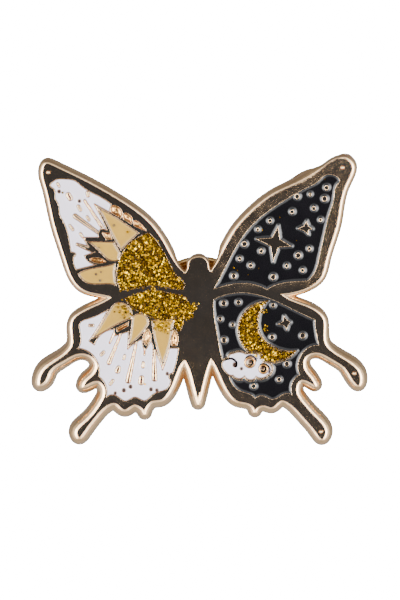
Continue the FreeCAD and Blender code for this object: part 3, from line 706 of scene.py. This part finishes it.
def clear_gloss():
    """Clear top coat: only its reflections show."""
    look = Look("clear_gloss")
    edge = look.node("ShaderNodeFresnel", IOR=1.5).outputs[0]
    clear = look.node("ShaderNodeBsdfTransparent", Color=(1.0, 1.0, 1.0)).outputs[0]
    shine = look.node("ShaderNodeBsdfGlossy", Color=(1.0, 1.0, 1.0), Roughness=0.05).outputs[0]
    both = look.join("ShaderNodeMixShader", edge, clear, shine).outputs[0]
    look.fill(look.tree.nodes["Material Output"], {"Surface": both})
    return look.material


def scatter_flakes(surface, places, depth, size, lean, tone):
    """Small six-sided flakes that lean at random, with a tone between two limits."""
    count = len(places)
    ring = toward(np.arange(6) * math.pi / 3)
    radius = size * random.uniform(0.6, 1.25, count)
    spin = random.uniform(0, math.pi, count)
    tilt = random.normal(0, lean, (count, 2))
    across = toward(spin)
    upward = -to_right(across)
    flat = ring[None, :, :1] * across[:, None] + ring[None, :, 1:] * upward[:, None]
    flat = flat * radius[:, None, None]
    y = (flat * tilt[:, None]).sum(2) + depth[:, None]
    corners = lifted((flat + places[:, None]).reshape(-1, 2), y.reshape(-1))
    normals = np.repeat(lifted(tilt, -1.0), 6, axis=0)
    fan = np.array([(0, 1, 2), (0, 2, 3), (0, 3, 4), (0, 4, 5)])
    faces = (np.arange(count)[:, None, None] * 6 + fan).reshape(-1, 3)
    surface.add(corners, normals, faces, tone=np.repeat(random.uniform(*tone, count), 6))


def make_glitter(name, loops, *materials):
    """Flakes crowded over a dark ground, some bright ones, and some on the metal round the pool."""
    pool = Surface()
    places = grid(loops, 0.1)
    places = places + random.normal(0, 0.03, places.shape)
    gap = nearest(places, loops)[0]
    places = places[inside(places, loops) & (gap > 0.05)]
    depth = ENAMEL_TOP + random.uniform(0.02, 0.07, len(places))
    scatter_flakes(pool, places, depth, 0.075, 0.2, (0, 1))
    bright = places[random.random(len(places)) < 0.1]
    depth = ENAMEL_TOP + random.uniform(-0.02, 0.03, len(bright))
    scatter_flakes(pool, bright, depth, 0.1, 0.22, (0.9, 1))
    border = np.vstack([finer(loop, 0.2) for loop in loops if area(loop) > 0])
    border = border[random.random(len(border)) < 0.5]
    border = border + random.normal(0, 0.06, border.shape)
    scatter_flakes(pool, border, np.full(len(border), CREST - 0.015), 0.08, 0.2, (0.3, 1))
    ground, faces = triangles_between(loops, grid(loops, 0.5))
    pool.add(lifted(ground, ENAMEL_TOP + 0.1), (0, -1, 0), faces, 1, tone=0.0)
    return pool.build(name, *materials)


def spill(name, patches, material, tone, size):
    """Loose flakes on the front, in patches of (x, z, spread, count)."""
    surface = Surface()
    for x, z, spread, count in patches:
        places = random.normal(0, spread, (count, 2)) + (x, z)
        scatter_flakes(surface, places, CREST + random.uniform(-0.03, 0.03, count), size, 0.2, tone)
    return surface.build(name, material)


def smooth_line(points):
    """Points of a smooth curve (Catmull-Rom) through the given ones."""
    step = 0.06
    points = np.array(points, float)
    points = np.vstack([2 * points[0] - points[1], points, 2 * points[-1] - points[-2]])
    curve = []
    for a, b, c, d in zip(points, points[1:], points[2:], points[3:]):
        count = max(2, math.ceil(np.linalg.norm(c - b) / step))
        for t in np.linspace(0, 1, count, endpoint=False):
            bend = t * (2 * a - 5 * b + 4 * c - d + t * (3 * (b - c) + d - a))
            curve.append(b + 0.5 * t * (c - a + bend))
    return np.array(curve + [points[-2]])


def ridge(surface, points, width):
    """Thin raised line, round on top and tapered at its ends."""
    height, y = 0.07, CREST + 0.06
    line = smooth_line(points)
    right = to_right(np.gradient(line, axis=0))
    count = len(line)
    number = np.arange(count)
    taper = np.clip(np.minimum(number + 0.5, count - number - 0.5) / 2, 0.2, 1)
    rows, normals = [], []
    for angle in np.radians([-90, -55, -20, 20, 55, 90]):
        across = right * math.sin(angle)
        place = line + across * (width / 2 * taper)[:, None]
        rows.append(lifted(place, y - height * math.cos(angle) * taper))
        normals.append(lifted(across * 0.4, -1.0))
    surface.add(np.vstack(rows), np.vstack(normals), strips(len(rows), count)[:, ::-1])


# Raised lines on the cloud: curls round its two rings, and a hook.
SWIRLS = [
    [(4.72, -6.15), (5.0, -5.9), (5.4, -5.85), (5.78, -6.12), (5.9, -6.5)],
    [(4.98, -6.72), (5.3, -6.82), (5.5, -6.55), (5.38, -6.28)],
    [(6.22, -6.8), (6.65, -6.7), (7.08, -6.9), (7.28, -7.3), (7.15, -7.7)],
    [(6.35, -7.38), (6.65, -7.5), (6.86, -7.25), (6.7, -7.02), (6.45, -7.05)],
]
HOOK = [(2.5, -6.36), (2.9, -6.2), (3.3, -6.16), (3.62, -6.33), (3.84, -6.66), (3.78, -6.98), (3.6, -7.02)]

# Patches of loose flakes, of flakes in the blue-black and of dark specks in the cream.
SPILLED = [
    (-8.2, -1.1, 0.42, 34), (-7.4, -1.3, 0.35, 22), (-4.15, -2.75, 0.3, 30), (-3.45, -2.75, 0.3, 30),
    (-3.8, -2.35, 0.4, 30), (-4.9, 0.95, 0.35, 24), (-5.1, -2.0, 0.15, 8), (-5.75, -8.9, 0.04, 3),
    (-7.52, 7.07, 0.04, 9), (-0.6, -0.7, 0.3, 18), (-1.6, -1.8, 0.35, 26), (-2.2, -2.6, 0.25, 20),
    (6.1, -0.5, 0.12, 6), (6.9, -3.05, 0.2, 9), (6.55, -1.15, 0.2, 12), (6.9, -6.2, 0.15, 12),
    (5.85, -5.85, 0.15, 10), (6.4, -6.0, 0.18, 12)]
IN_NIGHT = [
    (8.3, 8.6, 0.03, 2), (6.5, 7.3, 0.03, 2), (3.5, 3.4, 0.04, 3), (3.9, 3.1, 0.03, 2), (6.1, 3.3, 0.03, 2),
    (12.95, 12.6, 0.03, 2), (6.85, -3.2, 0.15, 8), (8.6, -8.2, 0.04, 3), (10.0, 6.2, 0.03, 1),
    (5.0, 2.6, 0.03, 1)]
SPECKS = [
    (-8.95, 7.75, 0.03, 4), (-10.5, 5.5, 0.02, 2), (-10.3, 2.9, 0.02, 2), (-10.8, 2.7, 0.02, 2),
    (-10.4, 2.05, 0.02, 2), (-14.2, 11.2, 0.02, 1)]


# ---- post and clutch
def turned(name, material, profile, around):
    """Piece turned about the post's axis; the profile runs with its material on the left."""
    surface = Surface()
    sharp = 0.6
    profile = np.array(profile, float)
    ring = toward(np.linspace(0, 2 * math.pi, around + 1))
    normal = to_right(np.diff(profile, axis=0))
    for index, (start, end) in enumerate(zip(profile, profile[1:])):
        first = last = normal[index]
        if index and first @ normal[index - 1] > sharp:
            first = first + normal[index - 1]
        if index < len(normal) - 1 and last @ normal[index + 1] > sharp:
            last = last + normal[index + 1]
        corners, normals = [], []
        for (radius, y), (out, back) in ((start, first), (end, last)):
            corners.append(lifted(ring * radius + (0, POST_Z), y))
            normals.append(lifted(ring * out, back))
        surface.add(np.vstack(corners), np.vstack(normals), strips(2, around + 1))
    return surface.build(name, material)


def arc(middle_r, middle_y, radius, start, end, count):
    """Points of an arc in a turned profile, angles in degrees from outward towards the back."""
    angles = np.radians(np.linspace(start, end, count))
    return [(middle_r + radius * math.cos(a), middle_y + radius * math.sin(a)) for a in angles]


def make_post(material):
    """Wire with two grooves that the clutch snaps into, and a point."""
    radius, deep = 0.55, 0.38
    profile = [(radius, 0.1), (radius, 2.2)]
    for start, next_y in ((2.2, 7.1), (7.1, 7.9)):
        profile += [(0.54, start + 0.02), (0.40, start + 0.10), (deep, start + 0.16)]
        profile += [(deep, start + 0.39), (0.40, start + 0.45), (0.54, start + 0.53)]
        profile += [(radius, start + 0.55), (radius, next_y)]
    profile += [(0.52, 8.05), (0.36, 8.5), (0.17, 8.86), (0.11, 8.95), (0.05, 8.99), (0.0, 9.0)]
    return turned("post_wire", material, profile, around=40)


def make_solder(material):
    """Soft fillet that has run a little unevenly round the foot of the post."""
    profile = [(1.42, -0.2), (1.4, -0.06), (1.3, -0.035), (1.15, -0.01), (1.0, 0.05), (0.87, 0.12),
               (0.76, 0.21), (0.69, 0.3), (0.64, 0.36), (0.58, 0.4), (0.54, 0.41)]
    thing = turned("solder_fillet", material, profile, around=56)
    for vertex in thing.data.vertices:
        x, y, z = vertex.co / MM
        turn = math.atan2(z - POST_Z, x)
        push = 0.035 * math.sin(2 * turn + 0.6) + 0.02 * math.sin(5 * turn)
        vertex.co.y += push * max(0.0, min(1.0, (y + 0.06) / 0.2)) * MM
    return thing


def make_clutch_base(material):
    """Dished disc with a curled rim, a stamped step and an eyelet that holds the spring."""
    curl = arc(5.34, 2.46, 0.36, -90, 215, 26)
    plate_side = [(0.72, 3.56), (0.72, 2.88), (0.8, 2.8), (2.2, 2.8), (2.45, 2.76), (3.3, 2.62),
                  (3.5, 2.55), (3.75, 2.5), (4.9, 2.33), (5.1, 2.2), (5.2, 2.13)]
    wing_side = [(5.03, 2.6), (4.9, 2.63), (3.85, 2.8), (3.6, 2.84), (3.4, 2.93), (2.5, 3.06),
                 (2.25, 3.1), (1.12, 3.1), (1.0, 3.14), (1.0, 3.42), (1.04, 3.45), (1.26, 3.45),
                 (1.3, 3.47), (1.3, 3.56), (1.26, 3.6), (0.85, 3.61), (0.76, 3.6), (0.72, 3.56)]
    return turned("clutch_disc", material, plate_side + curl + wing_side, around=96)


def cut_corners(loop):
    """Rounds the corners of an outline, in three cuts."""
    for _ in range(3):
        after = np.roll(loop, -1, axis=0)
        loop = np.stack([loop * 0.75 + after * 0.25, loop * 0.25 + after * 0.75], 1).reshape(-1, 2)
    return loop


def hole(along, radius):
    """Round hole on the middle line of a strip."""
    count = 48
    return (toward(np.arange(count) * 2 * math.pi / count) * radius + (along, 0))[::-1]


def run_of(path):
    """Length of a path up to each of its points."""
    return np.concatenate([[0], np.cumsum(np.linalg.norm(np.diff(path, axis=0), axis=1))])


def stamp(surface, loops, path, press=lambda along, across: 0.0 * along):
    """Strip cut to outlines in (along, across), bent along a path of (x, y) points and pressed."""
    path = np.array(path, float)
    run = run_of(path)
    heading = np.gradient(path, run, axis=0)
    soft, delta, half = 0.05, 0.01, STRIP / 2

    def place(points, height):
        along, across = points.T
        x, y, tx, ty = (np.interp(along, run, values) for values in np.hstack([path, heading]).T)
        length = np.hypot(tx, ty)
        tx, ty = tx / length, ty / length
        height = height + press(along, across)
        spot = np.stack([x - ty * height, y + tx * height, POST_Z + across], 1)
        return spot, np.stack([tx, ty, 0 * tx], 1), np.stack([-ty, tx, 0 * tx], 1)

    inset, rights = [], []
    for loop in loops:
        right = to_right(np.roll(loop, -1, axis=0) - np.roll(loop, 1, axis=0))
        rights.append(right)
        inset.append(loop - right * soft)
    corners, faces = triangles_between(inset, grid(inset, 0.22))
    for side in (1, -1):
        spot, forward, up = place(corners, side * half)
        along, across = corners.T
        slope = (press(along + delta, across) - press(along - delta, across)) / (2 * delta)
        surface.add(spot, side * (up - forward * slope[:, None]), faces[:, ::-side])
    for loop, inner, right in zip(loops, inset, rights):
        rows, normals = [], []
        for line, height, outward in ((inner, half, 0.15), (loop, half - soft, 0.85),
                                      (loop, soft - half, 0.85), (inner, -half, 0.15)):
            spot, forward, up = place(line, height)
            sideways = forward * right[:, :1] + np.array([0, 0, 1.0]) * right[:, 1:]
            normals.append(sideways * outward + up * (1 - outward) * np.sign(height))
            rows.append(spot)
        faces = strips(len(rows), len(loop), closed=True)[:, ::-1]
        surface.add(np.vstack(rows), np.vstack(normals), faces)


# Middle of the spring's strip: height of the seat, how far from the post the bends are,
# where a wing starts to rise, and its tip.
SEAT_Y, BENDS_X, KNEE_X, TIP_X, TIP_Y = 3.275, 2.3, 1.05, 5.5, 8.275


def arm_path(bend):
    """Middle line of one arm: up round the bend, over the post, then up the wing."""
    turn = np.radians(np.arange(0, 181, 9))
    path = [(-BENDS_X - bend * math.sin(a), SEAT_Y + bend - bend * math.cos(a)) for a in turn]
    top = SEAT_Y + 2 * bend
    slope = math.atan2(TIP_Y - top, TIP_X - KNEE_X)
    soft = 0.9
    cut = soft * math.tan(slope / 2)
    path += [(x, top) for x in np.arange(-BENDS_X + 0.3, KNEE_X - cut, 0.3)]
    path += [(KNEE_X - cut + soft * math.sin(a), top + soft - soft * math.cos(a))
             for a in np.linspace(0, slope, 8)]
    start = np.array(path[-1])
    heading = np.array([math.cos(slope), math.sin(slope)])
    reach = (TIP_X - start[0]) / heading[0]
    for share in np.linspace(0, 1, 16)[1:]:
        flare = 0.5 * max(0.0, share - 0.55) ** 2 / 0.2
        sideways = np.array([heading[1], -heading[0]]) * flare * 0.35
        path.append(tuple(start + heading * reach * share + sideways))
    return np.array(path)


def make_arm(name, side, bend, material):
    """One arm of the spring from its bend to the finger wing."""
    path = arm_path(bend)
    run = run_of(path)
    over = path[:, 1] > SEAT_Y + 1.9 * bend

    def along(x):
        return float(np.interp(x, path[over][:, 0], run[over]))

    end = run[-1]
    half = [(0.0, 1.7), (along(0.55), 1.7), (along(0.95), 0.75), (along(2.2), 0.75), (along(2.9), 1.1),
            (along(3.6), 2.35), (end - 1.5, 2.6), (end - 0.7, 2.55), (end - 0.25, 1.9), (end, 0.9)]
    outline = cut_corners(np.array(half + [(s, -w) for s, w in reversed(half)])[::-1])
    outline[:, 0] = np.maximum(outline[:, 0], 0.0)
    outline = finer(outline, 0.2)
    loops = [outline if area(outline) > 0 else outline[::-1], hole(along(0.18), 0.75)]
    if bend > 0.6:
        low, high = along(-2.3) - 0.42, along(-0.95)
        window = cut_corners(np.array([(low, -1.05), (high, -1.05), (high, 1.05), (low, 1.05)]))
        loops.append(finer(window, 0.2)[::-1])
    surface = Surface()

    def press(s, across):
        """Four grip ridges near the tip."""
        ridges = sum(np.exp(-((s - (end - 0.9 - 0.55 * k)) / 0.11) ** 2) for k in range(4))
        return 0.07 * ridges * np.clip((2.1 - np.abs(across)) / 0.4, 0, 1)

    stamp(surface, loops, path, press)
    for rows in surface.corners + surface.normals:
        rows[:, 0] *= side
    if side < 0:
        surface.faces = [faces[:, ::-1] for faces in surface.faces]
    return surface.build(name, material)


def make_spring_seat(material):
    """Flat middle of the spring, with the hole for the eyelet."""
    surface = Surface()
    start, x, z = -3.0, 2.3, 1.7
    outline = finer(np.array([(-x, -z), (x, -z), (x, z), (-x, z)]), 0.2) - (start, 0)
    stamp(surface, [outline, hole(-start, 1.05)], [(x, SEAT_Y) for x in np.linspace(start, -start, 13)])
    return surface.build("spring_flat", material)


# ---- looks
gold = cast_plating("gold_plate", (0.87, 0.59, 0.34), (0.80, 0.52, 0.28))
# Dark brown paint for the tops of the smallest raised dots, a painted dark reflection of their polished
# tops; the cloud's hook is drawn in it too.
dark_top_paint = Look("painted_dark_tops", Roughness=0.4, Base_Color=(0.03, 0.013, 0.009), Specular_IOR_Level=0.15).material
well_metal = plating("gold_well", (0.76, 0.43, 0.16), (0.52, 0.25, 0.07), 0.15, 0.0035).material
back_metal = plating("gold_back", (0.84, 0.62, 0.36), (0.74, 0.52, 0.28), 0.3, 0.0215).material
wire_metal = plating("post_wire", (0.84, 0.64, 0.38), (0.76, 0.55, 0.30), 0.14, 0.0015, 0.001).material
solder_metal = plating("solder_metal", (0.72, 0.62, 0.48), (0.56, 0.47, 0.35), 0.36, 0.0115).material
clutch_metal = plating("clutch_brass", (0.86, 0.58, 0.25), (0.76, 0.48, 0.19), 0.16, 0.0025, 0.001).material
spring_metal = plating("spring_brass", (0.86, 0.62, 0.30), (0.78, 0.54, 0.24), 0.18, 0.0025, 0.002).material
# Painted shade: the fourth colour of white, cream and champagne enamel is a dark brown line along the metal
# walls.
WALL_SHADE_BROWN = (0.10, 0.04, 0.015)
white = enamel("white_enamel", (0.90, 0.83, 0.95), (0.74, 0.60, 0.60), (0.16, 0.075, 0.045), 0.08, 0.05)
cream = enamel("cream_enamel", (0.52, 0.305, 0.052), (0.42, 0.22, 0.036), WALL_SHADE_BROWN, 0.08, 0.12)
champagne = enamel("champagne_enamel", (0.72, 0.50, 0.30), (0.55, 0.33, 0.17), WALL_SHADE_BROWN, 0.08, 0.05)
night = enamel("night_enamel", (0.0065, 0.0058, 0.0065), (0.012, 0.011, 0.016), (0.01, 0.008, 0.01),
               0.05, 0.3)
ground, flake, gloss = glitter_ground(), glitter_flake(), clear_gloss()
# Slot, material, and how high and from how far each kind of enamel climbs at a wall.
ENAMELS = {
    "white": ("white_enamel", white, 0.085, 0.44), "cloud": ("white_enamel", white, 0.085, 0.44),
    "cream": ("cream_enamel", cream, 0.085, 0.44), "night": ("night_enamel", night, 0.1, 0.6),
    "sun": ("glitter_enamel", gloss, 0.02, 0.44), "moon": ("glitter_enamel", gloss, 0.02, 0.44)}


# ---- pieces on the frame
def fit(thing, body, slot, *replaced):
    """Puts a piece on a body and hides the CAD nodes that it replaces; the slot is not used."""
    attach(thing, body)
    if replaced:
        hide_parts(*replaced)


def is_curl(loop, middles):
    """True for the small outlines round the cloud's rings."""
    near = any(np.linalg.norm(loop.mean(0) - middle) < 0.3 for middle in middles)
    return near and np.ptp(loop[:, 0]) < 0.9


enamel_loops = {name: [finer(loop, ENAMEL_STEP) for loop in outlines(name, ENAMEL_TOP)]
                for name in nodes if name.startswith("enamel_")}
enamel_outers = [loop for loops in enamel_loops.values() for loop in loops if area(loop) > 0]
white_loops = [loop for name, loops in enamel_loops.items() if "_white" in name for loop in loops]
pale_outers = [loop for name, loops in enamel_loops.items() if "_white" in name or "_cloud" in name
               for loop in loops if area(loop) > 0]

fit(make_plate(gold), "plate", "gold_plate", "base_plate")
for name, loops in enamel_loops.items():
    kind = name.split("_")[1]
    slot, material, climb, reach = ENAMELS[kind]
    if kind == "cloud":
        middles = [loop.mean(0) for loop in loops if area(loop) > 0 and np.ptp(loop[:, 0]) < 1.1]
        curls = [loop for loop in loops if is_curl(loop, middles)]
        fit(make_pool("pool_curls", curls, champagne, climb, reach), "plate", slot)
        loops = [loop for loop in loops if not is_curl(loop, middles)]
    fit(make_pool(name.replace("enamel", "pool"), loops, material, climb, reach), "plate", slot, name)
    if slot == "glitter_enamel":
        fit(make_glitter(name.replace("enamel", "flakes"), loops, flake, ground), "plate", slot)

fit(spill("flakes_loose", SPILLED, flake, (0.8, 1), 0.09), "plate", "glitter_enamel")
fit(spill("flakes_in_night", IN_NIGHT, flake, (0.55, 0.8), 0.05), "plate", "glitter_enamel")
fit(spill("specks_in_cream", SPECKS, ground, (0, 1), 0.13), "plate", "glitter_enamel")
for name, lines, width, material in (("cloud_swirls", SWIRLS, 0.13, well_metal),
                                     ("cloud_hook", [HOOK], 0.2, dark_top_paint)):
    surface = Surface()
    for line in lines:
        ridge(surface, line, width)
    fit(surface.build(name, material), "plate", "gold_plate")

fit(make_post(wire_metal), "plate", "post_metal", "pin_post")
fit(make_solder(solder_metal), "plate", "solder", "post_solder")
fit(make_clutch_base(clutch_metal), "clutch", "clutch_metal", "clutch_base")
fit(make_spring_seat(spring_metal), "spring", "spring_metal", "clutch_spring_seat")
for name, side, bend in (("right", 1, 0.45), ("left", -1, 0.85)):
    arm = make_arm("spring_arm_" + name, side, bend, spring_metal)
    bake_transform(arm)
    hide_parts("clutch_wing_" + name)

# ---- camera and light
# Distances in metres: camera to pin, and the height of the view at the pin. The sensor is in mm.
DISTANCE, VIEW_HEIGHT, SENSOR = 0.3, 0.0624, 24
TILT = math.radians(6.5)
# Floor in mm, its size, and how bright it and the backdrop are.
FLOOR_Z, HALF_FLOOR, WHITE = -15.6, 3000.0, 30.0

camera_data = bpy.data.cameras.new("camera")
camera_data.sensor_fit = "VERTICAL"
camera_data.sensor_height = SENSOR
camera_data.lens = DISTANCE * SENSOR / VIEW_HEIGHT
camera_data.clip_start, camera_data.clip_end = 0.01, 10
camera = bpy.data.objects.new("camera", camera_data)
bpy.context.scene.collection.objects.link(camera)
aim = Vector((0, CREST * MM, 0))
camera.location = aim + Vector((0, -math.cos(TILT), math.sin(TILT))) * DISTANCE
camera.rotation_euler = (aim - camera.location).to_track_quat("-Z", "Y").to_euler()
bpy.context.scene.camera = camera

square = Surface()
square.add([(x * HALF_FLOOR, y * HALF_FLOOR, FLOOR_Z) for x, y in ((-1, -1), (1, -1), (1, 1), (-1, 1))],
           (0, 0, 1), [(0, 1, 2), (0, 2, 3)])
pale = Look("floor_white", Roughness=1.0, Emission_Color=(1.0, 1.0, 1.0), Emission_Strength=WHITE)
floor = square.build("floor", pale.material)
floor.visible_glossy = floor.visible_diffuse = floor.visible_shadow = floor.visible_transmission = False

world = bpy.data.worlds.new("world")
bpy.context.scene.world = world
world.use_nodes = True
sky = Nodes(world.node_tree)
sky.tree.nodes.clear()


def calculate(operation, *values):
    """Result of a Math node."""
    return sky.join("ShaderNodeMath", *values, operation=operation).outputs[0]


def light(stops, strength):
    """Light whose colour depends on the angle from the dark middle, in degrees."""
    stops = [((1 + math.cos(math.radians(degrees))) / 2, colour) for degrees, colour in stops]
    colour = sky.ramp(off_axis, *stops)
    return sky.node("ShaderNodeBackground", Color=colour, Strength=strength).outputs[0]


# Soft light in rings round the dark middle that the flat metal mirrors towards the camera. The
# softboxes are far brighter left and right, and the room is brighter below.
SOFTBOXES = [(180, 0.0), (107, 0.0), (90, 0.0025), (60, 0.009), (46, 0.02), (42, 0.1), (39, 0.34),
             (34, 0.7), (29, 1.0), (22.5, 1.0), (21, 0.0)]
ROOM = [(180, 1.0), (35, 1.0), (22, (0.2, 0.24, 0.3)), (17, (0.105, 0.13, 0.2)), (0, (0.095, 0.12, 0.19))]
AT_SIDES, EVERYWHERE = 285.0, 1.2
ROOM_SLOPE, ROOM_LEVEL = -0.25, 0.5

direction = sky.node("ShaderNodeTexCoord").outputs["Generated"]
middle = (0, -math.cos(TILT), -math.sin(TILT))
facing = sky.join("ShaderNodeVectorMath", direction, middle, operation="DOT_PRODUCT").outputs["Value"]
off_axis = calculate("MULTIPLY_ADD", facing, 0.5, 0.5)
parts = sky.join("ShaderNodeSeparateXYZ", direction).outputs
sideways = calculate("POWER", calculate("ABSOLUTE", parts["X"]), 4.0)
sides = light(SOFTBOXES, calculate("MULTIPLY_ADD", sideways, AT_SIDES, EVERYWHERE))
room = light(ROOM, calculate("MULTIPLY_ADD", parts["Z"], ROOM_SLOPE, ROOM_LEVEL))
lit = sky.join("ShaderNodeAddShader", sides, room).outputs[0]
backdrop = sky.node("ShaderNodeBackground", Color=(1.0, 1.0, 1.0), Strength=WHITE).outputs[0]
seen = sky.node("ShaderNodeLightPath").outputs["Is Camera Ray"]
choose = sky.join("ShaderNodeMixShader", seen, lit, backdrop).outputs[0]
sky.node("ShaderNodeOutputWorld", Surface=choose)
